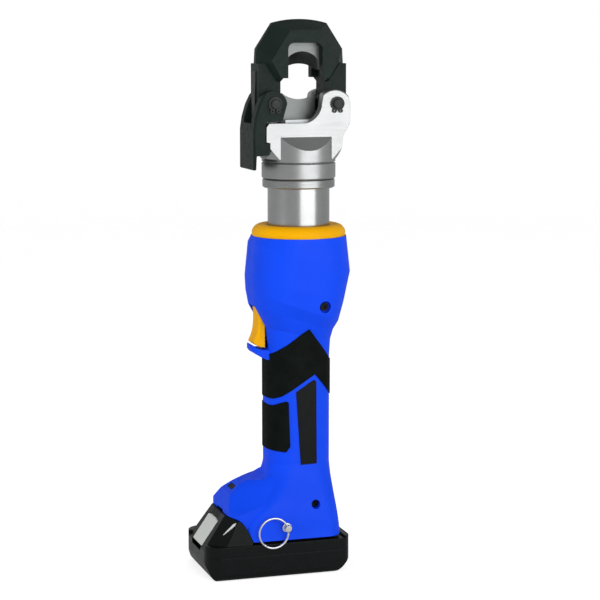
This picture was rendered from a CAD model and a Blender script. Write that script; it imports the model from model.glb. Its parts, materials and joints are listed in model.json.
"""Looks of the cordless hydraulic cutter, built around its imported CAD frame.

Metres, in the CAD's own frame: +Z up the tool, -X the trigger's side, -Y the lanyard's side.
The CAD solids keep their shapes and get procedural finishes; the pieces below add what the
solids leave out.
"""

import json
from math import cos, pi, radians, sin

import bmesh
import bpy
from mathutils import Matrix, Vector
from mathutils.bvhtree import BVHTree


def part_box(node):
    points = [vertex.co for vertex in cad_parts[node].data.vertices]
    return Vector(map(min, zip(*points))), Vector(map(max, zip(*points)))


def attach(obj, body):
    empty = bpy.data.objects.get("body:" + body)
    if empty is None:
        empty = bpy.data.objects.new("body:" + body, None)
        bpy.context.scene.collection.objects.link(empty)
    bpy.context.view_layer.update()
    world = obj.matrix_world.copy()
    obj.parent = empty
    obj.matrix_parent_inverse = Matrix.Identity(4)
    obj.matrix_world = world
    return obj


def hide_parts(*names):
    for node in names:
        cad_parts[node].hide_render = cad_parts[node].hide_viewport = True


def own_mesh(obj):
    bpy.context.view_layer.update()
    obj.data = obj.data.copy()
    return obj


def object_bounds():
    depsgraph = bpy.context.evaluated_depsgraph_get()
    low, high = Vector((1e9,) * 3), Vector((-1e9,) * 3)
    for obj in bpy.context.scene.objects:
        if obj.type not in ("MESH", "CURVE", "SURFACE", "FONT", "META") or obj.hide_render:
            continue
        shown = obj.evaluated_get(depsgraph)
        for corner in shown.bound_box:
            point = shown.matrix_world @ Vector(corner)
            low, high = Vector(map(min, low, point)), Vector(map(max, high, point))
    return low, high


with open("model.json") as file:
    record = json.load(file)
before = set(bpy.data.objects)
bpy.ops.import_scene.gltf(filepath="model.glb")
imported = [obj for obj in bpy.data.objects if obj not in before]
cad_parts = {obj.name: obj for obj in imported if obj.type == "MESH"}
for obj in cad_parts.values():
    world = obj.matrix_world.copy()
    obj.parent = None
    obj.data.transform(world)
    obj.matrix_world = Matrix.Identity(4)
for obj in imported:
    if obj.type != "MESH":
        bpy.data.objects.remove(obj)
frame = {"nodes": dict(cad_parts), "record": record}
cad_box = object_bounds()
scene = bpy.context.scene

# Camera: the photograph's own, worked out from the battery's edges
camera_azimuth = radians(-17.5)
camera_pitch = radians(8.06)
camera_distance = 1.5
camera_height = 0.4276
camera_aside = 0.0012
camera_lens = 114.0
sensor_width = 36.0

# Studio
key_direction = Vector((0.32, -0.95, 0.12))
key_distance = 1.9
key_size = (2.1, 2.3)
key_power = 32.0
fill_direction = Vector((-0.95, -0.20, 0.28))
fill_distance = 2.0
fill_size = (0.9, 1.8)
fill_power = 15.0
room_light = 0.48
ceiling_light = 0.28
ceiling_from = 0.8
floor_radius = 3.4
floor_fade = 0.9
floor_glow = 0.66
paper_tints = (0.90, 0.92)

# Finishes: marks and grains are features per metre, depths and edges are metres
flow_marks = 22.0
gloss_marks = 160.0
mould_grain = 2600.0
mould_edge = 0.0005
face_marks = 30.0
face_depth = 0.00002
dust_marks = 90.0
skin_marks = 420.0
stipple_grain = 1500.0
stipple_depth = 0.00008
rubber_edge = 0.0006
mottle_marks = 55.0
coat_marks = 300.0
coat_grain = 1400.0
coat_depth = 0.00003
coat_edge = 0.0007
haze_marks = 35.0
edge_turn = (0.90, 0.995)

# Split ring: where the wire starts, its ends' gaps, the step between turns, and its section
wire_start = radians(215.0)
wire_gap = 0.42
wire_step = 0.7
wire_section = (0.80, 0.49)
wire_sides = 14
wire_rows = 160

# Rib on the slanted side of the battery's tower: its ends, and the way the side faces
rib_ends = (Vector((-0.0617, -0.0328, 0.0455)), Vector((-0.0715, -0.0293, 0.0360)))
rib_facing = Vector((-0.61, -0.69, 0.38)).normalized()
rib_half_width = 0.0011
rib_height = 0.0010
rib_clear = 0.02
rib_start = 0.12
rib_rise = 6
rib_taper = 0.75
rib_sides = 16
rib_rows = 24

# Release button: the way its slope rises, how far along it the face ends, and half its arm's width
button_slope = (0.574, 0.0, 0.819)
button_end = -0.0047
arm_half = 0.0090
button_blur = 0.0002
arm_blur = 0.0004


class Finish:
    """A material and short calls for the nodes that the finishes share."""

    def __init__(self, name):
        self.material = bpy.data.materials.new(name)
        self.material.use_nodes = True
        self.tree = self.material.node_tree
        self.shader = self.tree.nodes["Principled BSDF"]
        self.place = self.node("ShaderNodeTexCoord").outputs["Object"]

    def node(self, kind, **settings):
        """A new node with its own settings, such as an operation."""
        made = self.tree.nodes.new(kind)
        for key, value in settings.items():
            setattr(made, key, value)
        return made

    def wire(self, source, socket):
        """Links an output to a socket, or sets a plain value on it."""
        if isinstance(source, bpy.types.NodeSocket):
            self.tree.links.new(source, socket)
        else:
            socket.default_value = source

    def stretched(self, scale):
        """Object coordinates multiplied along each axis."""
        mapping = self.node("ShaderNodeMapping")
        self.wire(self.place, mapping.inputs["Vector"])
        mapping.inputs["Scale"].default_value = scale
        return mapping.outputs["Vector"]

    def noise(self, scale, detail=2.0, stretch=None):
        """Soft random values around a half, with features about 1/scale metres across."""
        texture = self.node("ShaderNodeTexNoise")
        self.wire(self.stretched(stretch) if stretch else self.place, texture.inputs["Vector"])
        texture.inputs["Scale"].default_value = scale
        texture.inputs["Detail"].default_value = detail
        return texture.outputs["Fac"]

    def cells(self, scale):
        """Distance to scattered points: the pebbled grain of a mould."""
        texture = self.node("ShaderNodeTexVoronoi")
        self.wire(self.place, texture.inputs["Vector"])
        texture.inputs["Scale"].default_value = scale
        return texture.outputs["Distance"]

    def between(self, value, low, high, start=0.3, end=0.7):
        """Maps a value's start and end to low and high."""
        span = self.node("ShaderNodeMapRange")
        for socket, number in zip(span.inputs[:5], (value, start, end, low, high)):
            self.wire(number, socket)
        return span.outputs["Result"]

    def mix(self, share, first, second):
        """A colour that goes from first to second as share goes from 0 to 1."""
        blend = self.node("ShaderNodeMix", data_type="RGBA")
        self.wire(share, blend.inputs["Factor"])
        for colour, socket in ((first, "A"), (second, "B")):
            linked = isinstance(colour, bpy.types.NodeSocket)
            self.wire(colour if linked else (*colour, 1.0), blend.inputs[socket])
        return blend.outputs["Result"]

    def tinted(self, marks, colour, darker, lighter):
        """A colour that goes from darker to lighter with the marks."""
        return self.mix(self.between(marks, 0.0, 1.0), scaled(colour, darker), scaled(colour, lighter))

    def rounded(self, radius):
        """The surface's direction with its edges rounded off."""
        bevel = self.node("ShaderNodeBevel", samples=6)
        bevel.inputs["Radius"].default_value = radius
        return bevel.outputs["Normal"]

    def edge(self, rounded, strength):
        """1 along sharp edges, where the rounded direction leaves the flat one, and 0 elsewhere."""
        flat = self.node("ShaderNodeNewGeometry").outputs["Normal"]
        dot = self.node("ShaderNodeVectorMath", operation="DOT_PRODUCT")
        self.wire(rounded, dot.inputs[0])
        self.wire(flat, dot.inputs[1])
        return self.between(dot.outputs["Value"], strength, 0.0, *edge_turn)

    def bump(self, height, depth, under=None):
        """Turns a height of the given depth in metres into surface directions."""
        relief = self.node("ShaderNodeBump")
        relief.inputs["Distance"].default_value = depth
        self.wire(height, relief.inputs["Height"])
        if under is not None:
            self.wire(under, relief.inputs["Normal"])
        return relief.outputs["Normal"]

    def finish(self, colour, roughness, normal, **constants):
        """Puts the results on the shader; constants are sockets with one value all over."""
        self.wire(colour, self.shader.inputs["Base Color"])
        self.wire(roughness, self.shader.inputs["Roughness"])
        self.wire(normal, self.shader.inputs["Normal"])
        for name, value in constants.items():
            self.shader.inputs[name.replace("_", " ")].default_value = value
        return self.material


def scaled(colour, factor):
    """The same hue, lighter or darker."""
    return tuple(min(1.0, part * factor) for part in colour)


def moulded(name, colour, roughness=0.5, grain=mould_grain, depth=0.00003, edge=mould_edge, **constants):
    """Injection-moulded plastic: spark-eroded grain, slight flow marks and soft edges."""
    f = Finish(name)
    tint = f.tinted(f.noise(flow_marks, 3.0), colour, 0.94, 1.06)
    rough = f.between(f.noise(gloss_marks, 4.0), roughness - 0.06, roughness + 0.06)
    normal = f.bump(f.cells(grain), depth, f.rounded(edge))
    return f.finish(tint, rough, normal, **constants)


def two_tone(name, face, arm, **constants):
    """Release button: a pale face, and a dark arm where it runs on above the face's upper end."""
    f = Finish(name)
    along = f.node("ShaderNodeVectorMath", operation="DOT_PRODUCT")
    f.wire(f.place, along.inputs[0])
    along.inputs[1].default_value = button_slope
    parts = f.node("ShaderNodeSeparateXYZ")
    f.wire(f.place, parts.inputs["Vector"])
    aside = f.node("ShaderNodeMath", operation="ABSOLUTE")
    f.wire(parts.outputs["Y"], aside.inputs[0])
    above = f.between(along.outputs["Value"], 0.0, 1.0, button_end, button_end + button_blur)
    share = f.between(aside.outputs["Value"], above, 0.0, arm_half, arm_half + arm_blur)
    pale = f.tinted(f.noise(face_marks, 3.0), face, 0.95, 1.05)
    rough = f.between(f.noise(gloss_marks, 4.0), 0.42, 0.54)
    normal = f.bump(f.cells(mould_grain), face_depth, f.rounded(mould_edge))
    return f.finish(f.mix(share, pale, arm), rough, normal, **constants)


def rubber(name, colour, roughness=0.72, **constants):
    """Soft overmould: a dull skin with a fine stipple and dust in the hollows."""
    f = Finish(name)
    tint = f.tinted(f.noise(dust_marks, 5.0), colour, 0.8, 1.35)
    rough = f.between(f.noise(skin_marks), roughness - 0.08, roughness + 0.08)
    normal = f.bump(f.cells(stipple_grain), stipple_depth, f.rounded(rubber_edge))
    return f.finish(tint, rough, normal, **constants)


def coated(name, colour, worn, roughness=0.5, wear=0.35, **constants):
    """Coated steel: a mottled coating that thins to bare metal along its edges."""
    f = Finish(name)
    soft = f.rounded(coat_edge)
    coat = f.tinted(f.noise(mottle_marks, 6.0), colour, 0.86, 1.14)
    bare = f.edge(soft, wear)
    rough = f.between(f.noise(coat_marks, 3.0), roughness - 0.08, roughness + 0.08)
    normal = f.bump(f.noise(coat_grain), coat_depth, soft)
    return f.finish(f.mix(bare, coat, worn), rough, normal, **constants)


def machined(name, colour, roughness, stretch, lines=60.0, depth=0.00002, edge=0.0004, **constants):
    """Bare metal with tool marks; stretch sets which way the fine lines run."""
    f = Finish(name)
    marks = f.noise(lines, 4.0, stretch)
    tint = f.tinted(f.noise(haze_marks, 3.0), colour, 0.94, 1.05)
    rough = f.between(marks, roughness - 0.07, roughness + 0.09)
    normal = f.bump(marks, depth, f.rounded(edge))
    return f.finish(tint, rough, normal, Metallic=1.0, **constants)


# Ways the tool marks run: round the tool, along it, and as a grinder leaves them
turned = (1.0, 1.0, 60.0)
drawn = (60.0, 60.0, 1.0)
ground = (1.5, 1.5, 40.0)

finishes = {
    "bright_steel": machined("bright_steel", (0.43, 0.44, 0.44), 0.36, turned, depth=0.000006),
    "collar_steel": machined("collar_steel", (0.38, 0.39, 0.39), 0.30, turned, depth=0.000006),
    "tube_steel": machined("tube_steel", (0.45, 0.46, 0.46), 0.22, turned, 400.0, 0.0000008),
    "black_steel": coated("black_steel", (0.011, 0.020, 0.0168), (0.050, 0.065, 0.060), 0.46, 0.35,
                          Specular_IOR_Level=0.12),
    "pin_steel": coated("pin_steel", (0.016, 0.020, 0.019), (0.09, 0.10, 0.10), 0.42,
                        Specular_IOR_Level=0.3),
    "blade_steel": machined("blade_steel", (0.165, 0.175, 0.17), 0.36, ground, depth=0.000008),
    "tool_steel": machined("tool_steel", (0.42, 0.43, 0.44), 0.34, turned),
    "spring_steel": machined("spring_steel", (0.42, 0.43, 0.44), 0.30, drawn),
    "screw_steel": coated("screw_steel", (0.003, 0.0035, 0.006), (0.012, 0.014, 0.020), 0.42, 0.2,
                          Specular_IOR_Level=0.15),
    "ring_steel": machined("ring_steel", (0.80, 0.80, 0.79), 0.16, drawn, depth=0.000006),
    "seal_rubber": rubber("seal_rubber", (0.012, 0.012, 0.012)),
    "guide_plastic": moulded("guide_plastic", (0.30, 0.20, 0.12), 0.45),
    "pump_metal": machined("pump_metal", (0.60, 0.61, 0.62), 0.42, turned),
    "brass_fittings": machined("brass_fittings", (0.70, 0.52, 0.24), 0.32, turned),
    "motor_steel": coated("motor_steel", (0.30, 0.31, 0.32), (0.55, 0.56, 0.57), 0.36, Metallic=0.8),
    "inner_plastic": moulded("inner_plastic", (0.02, 0.02, 0.022), 0.5),
    "housing_blue": moulded("housing_blue", (0.004, 0.073, 0.98), 0.50, Specular_IOR_Level=0.12),
    "grip_rubber": rubber("grip_rubber", (0.0040, 0.0060, 0.0050), Specular_IOR_Level=0.07),
    "plate_black": moulded("plate_black", (0.004, 0.0048, 0.0050), 0.32, 900.0, 0.000008, 0.0002,
                           Specular_IOR_Level=0.15),
    "ring_orange": moulded("ring_orange", (0.98, 0.46, 0.0002), 0.46, Specular_IOR_Level=0.10),
    "board_green": moulded("board_green", (0.03, 0.20, 0.08), 0.35),
    "window_clear": moulded("window_clear", (0.002, 0.0025, 0.004), 0.3, depth=0.000004,
                            Specular_IOR_Level=0.08),
    "battery_black": moulded("battery_black", (0.0032, 0.0052, 0.0045), 0.28, depth=0.000008, edge=0.0010,
                             Specular_IOR_Level=0.16),
    "button_grey": two_tone("button_grey", (0.70, 0.73, 0.70), (0.0035, 0.0055, 0.0048),
                            Specular_IOR_Level=0.25),
    "cell_wrap": moulded("cell_wrap", (0.010, 0.045, 0.035), 0.28),
}

for subpart in frame["record"]["subparts"]:
    for place in frame["nodes"][subpart["node"]].material_slots:
        place.material = finishes[subpart["material_slot"]]


def mesh_piece(name, form, slot, body):
    """Puts a finished form into the scene as a piece that rides on a body."""
    bmesh.ops.recalc_face_normals(form, faces=form.faces)
    for face in form.faces:
        face.smooth = True
    mesh = bpy.data.meshes.new(name)
    form.to_mesh(mesh)
    form.free()
    mesh.materials.append(finishes[slot])
    piece = bpy.data.objects.new(name, mesh)
    scene.collection.objects.link(piece)
    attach(piece, body)
    return piece


def section(middle, across, up, sides):
    """Points once round an ellipse with the two half axes given."""
    angles = (2 * pi * side / sides for side in range(sides))
    return [middle + across * cos(angle) + up * sin(angle) for angle in angles]


def skinned(rows):
    """A closed form over rows of points that each run once round a section."""
    form = bmesh.new()
    rings = [[form.verts.new(point) for point in row] for row in rows]
    for low, high in zip(rings, rings[1:]):
        for step in range(len(low)):
            form.faces.new((low[step - 1], low[step], high[step], high[step - 1]))
    form.faces.new(rings[0])
    form.faces.new(rings[-1])
    return form


def split_ring():
    """Key ring: two turns of flattened wire side by side, stepped over between the wire's ends."""
    low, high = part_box("lanyard_ring")
    middle = (low + high) / 2
    thick = (high.y - low.y) / 2
    reach = (high.x - low.x) / 2 - thick
    wide, deep = (thick * part for part in wire_section)
    along_y = Vector((0.0, 1.0, 0.0))
    rows = []
    for index in range(wire_rows + 1):
        angle = wire_gap + (4 * pi - 2 * wire_gap) * index / wire_rows
        share = min(1.0, max(0.0, (angle - 2 * pi) / wire_step + 0.5))
        aside = thick * (share * share * (3 - 2 * share) - 0.5)
        out = Vector((cos(wire_start + angle), 0.0, sin(wire_start + angle)))
        centre = middle + out * reach + along_y * aside
        rows.append(section(centre, out * wide, along_y * deep, wire_sides))
    ring = mesh_piece("lanyard_split_ring", skinned(rows), "ring_steel", "lanyard")
    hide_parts("lanyard_ring")


def shortening_spring(node, body):
    """A copy of the spring's solid, which shortens towards its fixed end as the joint moves."""
    mesh = frame["nodes"][node].data.copy()
    coil = bpy.data.objects.new(f"{node}_coil", mesh)
    scene.collection.objects.link(coil)
    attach(coil, body)
    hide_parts(node)
    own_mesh(coil)


def tower_rib():
    """Low rib that thins out down the slanted side of the battery's tower."""
    case = frame["nodes"]["battery_upper_case"].data
    surface = BVHTree.FromPolygons([v.co for v in case.vertices], [p.vertices for p in case.polygons])
    across = (rib_ends[1] - rib_ends[0]).cross(rib_facing).normalized()
    rows = []
    for index in range(rib_rows + 1):
        share = index / rib_rows
        over = rib_ends[0].lerp(rib_ends[1], share) + rib_facing * rib_clear
        foot = surface.ray_cast(over, -rib_facing)[0]
        size = min(1.0, rib_start + share * rib_rise) * (1.0 - rib_taper * share * share)
        half, rise = across * (rib_half_width * size), rib_facing * (rib_height * size)
        rows.append(section(foot, half, rise, rib_sides))
    mesh_piece("battery_tower_rib", skinned(rows), "button_grey", "battery")


def backdrop_floor():
    """A pale disc that fades out, so that no horizon shows behind the tool."""
    form = bmesh.new()
    bmesh.ops.create_circle(form, cap_ends=True, radius=floor_radius, segments=96)
    mesh = bpy.data.meshes.new("floor")
    form.to_mesh(mesh)
    form.free()
    floor = bpy.data.objects.new("floor", mesh)
    scene.collection.objects.link(floor)
    f = Finish("floor_paper")
    tint = f.tinted(f.noise(9.0, 4.0), (1.0, 1.0, 1.0), *paper_tints)
    rough = f.between(f.noise(60.0), 0.75, 0.85)
    normal = f.bump(f.noise(900.0), 0.00002)
    f.finish(tint, rough, normal, Specular_IOR_Level=0.1, Emission_Color=(1.0, 1.0, 1.0, 1.0))
    seen = f.node("ShaderNodeLightPath").outputs["Is Camera Ray"]
    f.wire(f.between(seen, 0.0, floor_glow, 0.0, 1.0), f.shader.inputs["Emission Strength"])
    reach = f.node("ShaderNodeVectorMath", operation="LENGTH")
    f.wire(f.place, reach.inputs[0])
    f.wire(f.between(reach.outputs["Value"], 1.0, 0.0, floor_fade, floor_radius), f.shader.inputs["Alpha"])
    mesh.materials.append(f.material)


def softbox(name, direction, distance, size, power, mirrored=True):
    """A large soft light that faces the middle of the tool; its metal shows it if mirrored."""
    data = bpy.data.lights.new(name, "AREA")
    data.shape = "RECTANGLE"
    data.size, data.size_y = size
    data.energy = power
    light = bpy.data.objects.new(name, data)
    middle = (cad_box[0] + cad_box[1]) / 2
    light.location = middle + direction.normalized() * distance
    light.rotation_euler = direction.to_track_quat("Z", "Y").to_euler()
    light.visible_glossy = mirrored
    scene.collection.objects.link(light)


def studio_world():
    """White where the camera looks past the tool; as light, a grey room under a dark ceiling."""
    world = bpy.data.worlds.new("studio")
    scene.world = world
    world.use_nodes = True
    tree = world.node_tree
    background = tree.nodes["Background"]
    background.inputs["Color"].default_value = (1.0, 1.0, 1.0, 1.0)
    towards = tree.nodes.new("ShaderNodeTexCoord")
    parts = tree.nodes.new("ShaderNodeSeparateXYZ")
    room = tree.nodes.new("ShaderNodeMapRange")
    room.inputs["From Max"].default_value = ceiling_from
    room.inputs["To Min"].default_value = room_light
    room.inputs["To Max"].default_value = ceiling_light
    path = tree.nodes.new("ShaderNodeLightPath")
    seen = tree.nodes.new("ShaderNodeMapRange")
    seen.inputs["To Max"].default_value = 1.0
    tree.links.new(towards.outputs["Generated"], parts.inputs["Vector"])
    tree.links.new(parts.outputs["Z"], room.inputs["Value"])
    tree.links.new(room.outputs["Result"], seen.inputs["To Min"])
    tree.links.new(path.outputs["Is Camera Ray"], seen.inputs["Value"])
    tree.links.new(seen.outputs["Result"], background.inputs["Strength"])


def photo_camera():
    """The photograph's viewpoint."""
    flat = Vector((-sin(camera_azimuth), cos(camera_azimuth), 0.0))
    right = Vector((cos(camera_azimuth), sin(camera_azimuth), 0.0))
    forward = flat * cos(camera_pitch) - Vector((0, 0, sin(camera_pitch)))
    up = right.cross(forward)
    data = bpy.data.cameras.new("camera")
    data.lens = camera_lens
    data.sensor_width = sensor_width
    camera = bpy.data.objects.new("camera", data)
    turn = Matrix((right, up, -forward)).transposed().to_4x4()
    eye = right * camera_aside - flat * camera_distance + Vector((0, 0, camera_height))
    camera.matrix_world = Matrix.Translation(eye) @ turn
    scene.collection.objects.link(camera)
    scene.camera = camera


split_ring()
tower_rib()
shortening_spring("return_spring", "body")
shortening_spring("trigger_spring", "body")
shortening_spring("button_spring", "battery")
backdrop_floor()
softbox("key", key_direction, key_distance, key_size, key_power)
softbox("fill", fill_direction, fill_distance, fill_size, fill_power, mirrored=False)
studio_world()
photo_camera()
scene.view_settings.view_transform = "Standard"
